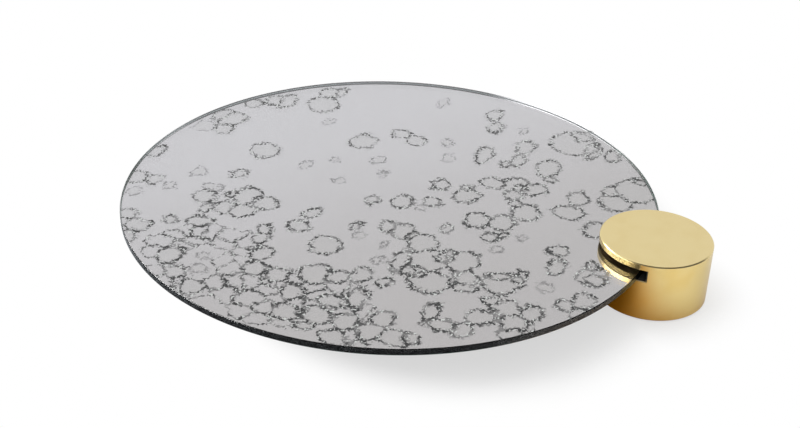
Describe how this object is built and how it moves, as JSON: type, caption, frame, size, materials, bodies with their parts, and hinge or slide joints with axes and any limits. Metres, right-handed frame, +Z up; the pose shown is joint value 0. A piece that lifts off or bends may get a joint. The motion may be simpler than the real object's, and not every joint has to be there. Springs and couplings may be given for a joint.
{
  "type": "round mirror tray",
  "caption": "Round antiqued-mirror tray whose rim lies in the slot of a brass cylinder; the cylinder pulls off along the disc's radius.",
  "frame": {"origin": "on the table, in the middle of the tray's bounding box", "axes": "+X along the tray, from the mirror disc towards the brass block; +Z up"},
  "size_m": [0.44, 0.4, 0.045],
  "materials": {
    "clear_glass": "polished float glass with fine bevels",
    "antiqued_silver": "antiqued silvering with ring-shaped tarnish",
    "foam_tape": "dark foam tape",
    "black_paint": "fine-textured black powder coat",
    "black_anodised": "black anodised, turned",
    "screw_steel": "plain steel",
    "black_rubber": "matt black rubber",
    "polished_brass": "polished pale brass, very fine brushing",
    "black_felt": "black felt"
  },
  "bodies": {
    "tray": {"glass_disc": "clear_glass", "silvering": "antiqued_silver", "bond_tape_ring": "foam_tape", "bond_tape_spot": "foam_tape", "support_plate": "black_paint", "foot_post_1": "black_anodised", "foot_post_2": "black_anodised", "foot_post_3": "black_anodised", "foot_screw_1": "screw_steel", "foot_screw_2": "screw_steel", "foot_screw_3": "screw_steel", "foot_pad_1": "black_rubber", "foot_pad_2": "black_rubber", "foot_pad_3": "black_rubber"},
    "block": {"brass_block": "polished_brass", "slot_pad": "black_felt", "slot_buffer": "black_felt", "base_pad": "black_felt"}
  },
  "joints": [
    {"name": "block_pull", "type": "slide", "parent": "tray", "child": "block", "axis": [1, 0, 0], "range_m": [-0.0009, 0.06]}
  ]
}
